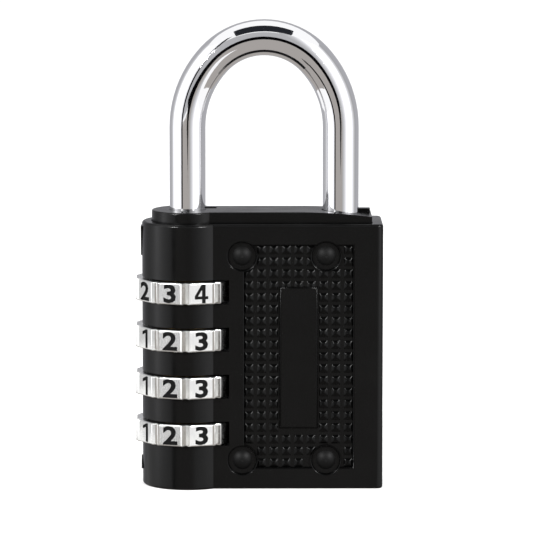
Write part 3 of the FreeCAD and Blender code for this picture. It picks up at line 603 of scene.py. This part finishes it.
# %% [markdown]
# ## Rounded rims
# A die-cast edge is never sharp: the die is rounded, and the black coat rounds it further. So a
# quarter-round is swept along each edge of the panel, the smooth rectangle and the recesses.
# It draws the thin light line that shows each edge. A bevel on the case would do the same, but
# the frame's pieces keep their shape.

# %% Sweep a rounded rim
RIM_WIDTH = 0.32 * MM
RIM_SINK = 0.03 * MM        # into the panel floor
RIM_BELOW_FACE = 0.004 * MM
RIM_ARC = 6
CIRCLE_STEPS = 48


def rim_profile(depth):
    """A quarter-round and its back: (distance from the wall, depth below the face)."""
    arc = [math.pi / 2 * i / RIM_ARC for i in range(RIM_ARC + 1)]
    front = [(RIM_WIDTH * math.sin(a), depth * (1 - math.cos(a)) + RIM_BELOW_FACE) for a in arc]
    return front + [(RIM_WIDTH, depth + RIM_SINK), (0.0, depth + RIM_SINK)]


def add_rim(mesh, loop, depth, side):
    """Sweep the quarter-round round a closed loop; loop(offset) gives its (x, z) points."""
    rows = [[mesh.verts.new((x, side * (FACE_Y - drop), z)) for x, z in loop(offset)]
            for offset, drop in rim_profile(depth)]
    for row, after in zip(rows, rows[1:] + rows[:1]):
        for i in range(len(row)):
            j = (i + 1) % len(row)
            mesh.faces.new((row[i], row[j], after[j], after[i]))


def rectangle(left, right, low, high, inwards):
    """Corners of a rectangle moved in, or out, by an offset."""
    def loop(offset):
        o = offset * inwards
        return [(left + o, low + o), (right - o, low + o),
                (right - o, high - o), (left + o, high - o)]
    return loop


def circle_loop(x, z, radius):
    """Points of a circle that shrinks by an offset."""
    turns = [2 * math.pi * i / CIRCLE_STEPS for i in range(CIRCLE_STEPS)]
    return lambda offset: [(x + (radius - offset) * math.cos(t),
                            z + (radius - offset) * math.sin(t)) for t in turns]


print("points in a rim's profile:", len(rim_profile(PANEL_DEPTH)))


# %% The rims of one face
def panel_rims(side):
    """The rims of the panel, of the smooth rectangle and of the rivet recesses."""
    mesh = bmesh.new()
    add_rim(mesh, rectangle(PANEL_LEFT, PANEL_RIGHT, PANEL_LOW, PANEL_HIGH, 1), PANEL_DEPTH, side)
    frame_rim = bmesh_object("panel_rim", mesh)
    subtract(frame_rim, rivet_cutter())
    mesh = bmesh.new()
    mesh.from_mesh(frame_rim.data)
    bpy.data.objects.remove(frame_rim)
    add_rim(mesh, rectangle(PANEL_LEFT + PLATEAU_SIDE, PANEL_RIGHT - PLATEAU_SIDE, PLATEAU_LOW,
                            PLATEAU_HIGH, -1), PANEL_DEPTH, side)
    for x, z in rivet_spots:
        add_rim(mesh, circle_loop(x, z, SINK_RADIUS), SINK_DEPTH, side)
    return mesh


print("panel, mm:", round((PANEL_RIGHT - PANEL_LEFT) / MM, 1), "by",
      round((PANEL_HIGH - PANEL_LOW) / MM, 1))

# %% [markdown]
# ## Both knurled panels
# Studs and rims become one mesh for each face and ride the case. They stay sharp where faces
# meet at more than 50 degrees and are shaded smooth elsewhere, as a coat leaves them.

# %% Build the panels
SHARP_CASTING = math.radians(50)


def knurled_panel(name, side):
    """Studs trimmed round the rivets, with the rims that frame them."""
    mesh = bmesh.new()
    floor_y = side * (FACE_Y - PANEL_DEPTH)
    for x, z in stud_places():
        add_stud(mesh, Vector((x, floor_y, z)), side)
    panel = bmesh_object(name, mesh)
    subtract(panel, rivet_cutter())
    mesh = panel_rims(side)
    mesh.from_mesh(panel.data)
    bpy.data.objects.remove(panel)
    panel = bmesh_object(name, mesh)
    panel.data.materials.append(black_knurl)
    panel.data.shade_smooth()
    panel.data.set_sharp_from_angle(angle=SHARP_CASTING)
    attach(panel, "case")
    print(name, len(panel.data.polygons), "faces")


knurled_panel("knurl_front", -1)
knurled_panel("knurl_back", 1)

# %% [markdown]
# ## Number rings
# Each ring has ten flat number facets with a pair of grip ridges between neighbours. The outline
# is one facet's corners turned ten times; it is swept up the ring's height, drawn in slightly at
# the top and bottom to round the rims as tumbling does. A screw or array modifier could turn the
# profile too, but a loop keeps every corner where the frame's dial has it.

# %% Ring outline
DIGITS = 10
FACET_DROP = 0.45 * MM      # facet middle below the ridge tips
GROOVE_DROP = 0.7 * MM      # groove below the ridge tips
FACET_HALF = 12.2           # degrees
RIDGE_FROM = 14.0
RIDGE_TO = 14.5
FACET_LAG = -2.0            # the rings stand a touch short of their clicks
FACET_TURN = 360 / DIGITS
AT_LEFT = 180               # the angle of the reading line
RIM_ROUND = 0.25 * MM
RIM_STEPS = 5
BORE_RADIUS = 6.35 * MM


def ring_outline(ridge_radius):
    """Corners of the ring's outline as (angle in degrees, radius)."""
    facet_edge = (ridge_radius - FACET_DROP) / math.cos(math.radians(FACET_HALF))
    groove = ridge_radius - GROOVE_DROP
    corners = []
    for digit in range(DIGITS):
        middle = AT_LEFT + FACET_LAG + digit * FACET_TURN
        corners += [(middle - FACET_HALF, facet_edge), (middle + FACET_HALF, facet_edge),
                    (middle + RIDGE_FROM, ridge_radius), (middle + RIDGE_TO, ridge_radius),
                    (middle + FACET_TURN / 2, groove),
                    (middle + FACET_TURN - RIDGE_TO, ridge_radius),
                    (middle + FACET_TURN - RIDGE_FROM, ridge_radius)]
    return corners


def ring_mesh(name, axis_x, low, high, ridge_radius):
    """Outer skin swept over rounded rims, flat ends and a plain bore."""
    corners = ring_outline(ridge_radius)
    levels = []
    for step in range(RIM_STEPS + 1):
        a = math.pi / 2 * step / RIM_STEPS
        levels.append((low + RIM_ROUND * (1 - math.sin(a)), RIM_ROUND * (1 - math.cos(a))))
    levels = levels[::-1] + [(high - (z - low), drop) for z, drop in levels]
    mesh = bmesh.new()
    loops = []
    for z, drop in levels:
        loops.append([mesh.verts.new((axis_x + (r - drop) * math.cos(math.radians(a)),
                                      (r - drop) * math.sin(math.radians(a)), z))
                      for a, r in corners])
    bores = [[mesh.verts.new((axis_x + BORE_RADIUS * math.cos(math.radians(a)),
                              BORE_RADIUS * math.sin(math.radians(a)), z))
              for a, r in corners] for z in (low, high)]
    rings = [bores[0]] + loops + [bores[1]]
    for lower, upper in zip(rings, rings[1:] + rings[:1]):
        for i in range(len(lower)):
            j = (i + 1) % len(lower)
            mesh.faces.new((lower[i], lower[j], upper[j], upper[i]))
    return bmesh_object(name, mesh)


print("corners round a ring:", len(ring_outline(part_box("dial_1")[1].y)))

# %% [markdown]
# ## Numerals
# The numerals are real engraving: outlines turned to mesh, set on each facet and cut with a
# boolean, so that they keep their shape in every light. A bump texture would be quicker, but it
# goes flat from the side. The built-in type is used, thickened and widened, except where it
# differs most: the flagged 1 and the 4 are drawn as plain outlines.

# %% Numerals
NUMERAL_HEIGHT = 3.25 * MM
NUMERAL_WEIGHT = 0.033      # stroke thickening, as a share of the type size
NUMERAL_WIDENING = 1.26
NUMERAL_CURVE_STEPS = 3     # more makes loops so fine that the boolean fails
ENGRAVING = 0.16 * MM
WELD_DISTANCE = 1e-6


def weld(data):
    """Join the points that a text object leaves doubled between its faces and its sides."""
    mesh = bmesh.new()
    mesh.from_mesh(data)
    bmesh.ops.remove_doubles(mesh, verts=mesh.verts, dist=WELD_DISTANCE)
    mesh.to_mesh(data)
    mesh.free()


DRAWN = {    # digits given as closed outlines; a second outline is the hole in the 4
    1: [[(0.30, 0.0), (0.42, 0.0), (0.42, 0.7), (0.33, 0.7), (0.14, 0.59), (0.14, 0.47),
         (0.30, 0.55)]],
    4: [[(0.22, 0.0), (0.33, 0.0), (0.33, 0.15), (0.41, 0.15), (0.41, 0.26), (0.33, 0.26),
         (0.33, 0.7), (0.21, 0.7), (0.0, 0.27), (0.0, 0.15), (0.22, 0.15)],
        [(0.22, 0.26), (0.1, 0.26), (0.22, 0.5)]],
}


def numeral_curve(digit):
    """The outline of a digit, from the listed outlines or taken from the built-in type."""
    if digit in DRAWN:
        outline = bpy.data.curves.new("numeral", "CURVE")
        outline.dimensions = "2D"
        outline.fill_mode = "BOTH"
        for loop in DRAWN[digit]:
            spline = outline.splines.new("POLY")
            spline.points.add(len(loop) - 1)
            for point, (x, y) in zip(spline.points, loop):
                point.co = (x, y, 0, 1)
            spline.use_cyclic_u = True
    else:
        outline = bpy.data.curves.new("numeral", "FONT")
        outline.body = str(digit)
        outline.offset = NUMERAL_WEIGHT
        outline.resolution_u = NUMERAL_CURVE_STEPS
    outline.extrude = 1.0
    return outline


def numeral(digit, place, right, outward):
    """A digit as a cutter mesh standing on a facet."""
    text = numeral_curve(digit)
    holder = bpy.data.objects.new("numeral", text)
    bpy.context.scene.collection.objects.link(holder)
    graph = bpy.context.evaluated_depsgraph_get()
    data = bpy.data.meshes.new_from_object(holder.evaluated_get(graph))
    bpy.data.objects.remove(holder)
    weld(data)
    xs = [v.co.x for v in data.vertices]
    ys = [v.co.y for v in data.vertices]
    middle = Vector(((min(xs) + max(xs)) / 2, (min(ys) + max(ys)) / 2, 0))
    size = NUMERAL_HEIGHT / (max(ys) - min(ys))
    turn = Matrix((right, Vector((0, 0, 1)), outward)).transposed().to_4x4()
    data.transform(Matrix.Translation(place) @ turn
                   @ Matrix.Diagonal((size * NUMERAL_WIDENING, size, ENGRAVING, 1))
                   @ Matrix.Translation(-middle))
    return data


def numeral_cutter(axis_x, middle_z, facet_radius, first_digit):
    """All ten digits of a ring as one cutter, the first at the reading line on the left."""
    mesh = bmesh.new()
    for step in range(DIGITS):
        a = math.radians(AT_LEFT + FACET_LAG + step * FACET_TURN)
        outward = Vector((math.cos(a), math.sin(a), 0))
        right = Vector((-math.sin(a), math.cos(a), 0))
        place = Vector((axis_x, 0, middle_z)) + outward * facet_radius
        data = numeral((first_digit + step) % DIGITS, place, right, outward)
        mesh.from_mesh(data)
        bpy.data.meshes.remove(data)
    cutter = bmesh_object("numeral_cutter", mesh)
    cutter.data.materials.append(numeral_lacquer)
    return cutter


print("digits drawn by hand:", sorted(DRAWN))

# %% [markdown]
# ## The four rings
# Each ring turns with its dial and stands in for it. The lacquer comes with the cutter, so the
# boolean lines every engraved digit with it.

# %% Build the four rings
SHARP_RING = math.radians(22)
joint_x = {joint["child"]: joint["pos_m"][0] for joint in frame["joints"]
           if joint["name"].endswith("_spin")}
READ_AT_LEFT = {1: 1, 2: 0, 3: 0, 4: 0}     # the digit of each dial at the reading line
for number in DIALS:
    body = f"dial_{number}"
    low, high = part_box(body)
    ridge_radius = high.y
    ring = ring_mesh(f"number_ring_{number}", joint_x[body], low.z, high.z, ridge_radius)
    ring.data.materials.append(ring_plate)
    cutter = numeral_cutter(joint_x[body], (low.z + high.z) / 2, ridge_radius - FACET_DROP,
                            READ_AT_LEFT[number])
    subtract(ring, cutter)
    ring.data.shade_smooth()
    ring.data.set_sharp_from_angle(angle=SHARP_RING)
    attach(ring, body)
    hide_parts(body)
    print(ring.name, len(ring.data.polygons), "faces", [m.name for m in ring.data.materials])

# %% [markdown]
# ## The reset spring
# The reset spring under the sleeves is a round-wire compression spring: when the code is changed
# the sleeves come down and it shortens by as much. The frame's spring is rigid; its mesh is taken
# over here as an object of its own that rides the case, in place of the frame's piece.

# %% Take over the reset spring
reset_coil = bpy.data.objects.new("reset_coil", nodes["reset_spring"].data.copy())
bpy.context.scene.collection.objects.link(reset_coil)
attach(reset_coil, "case")
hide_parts("reset_spring")
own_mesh(reset_coil)
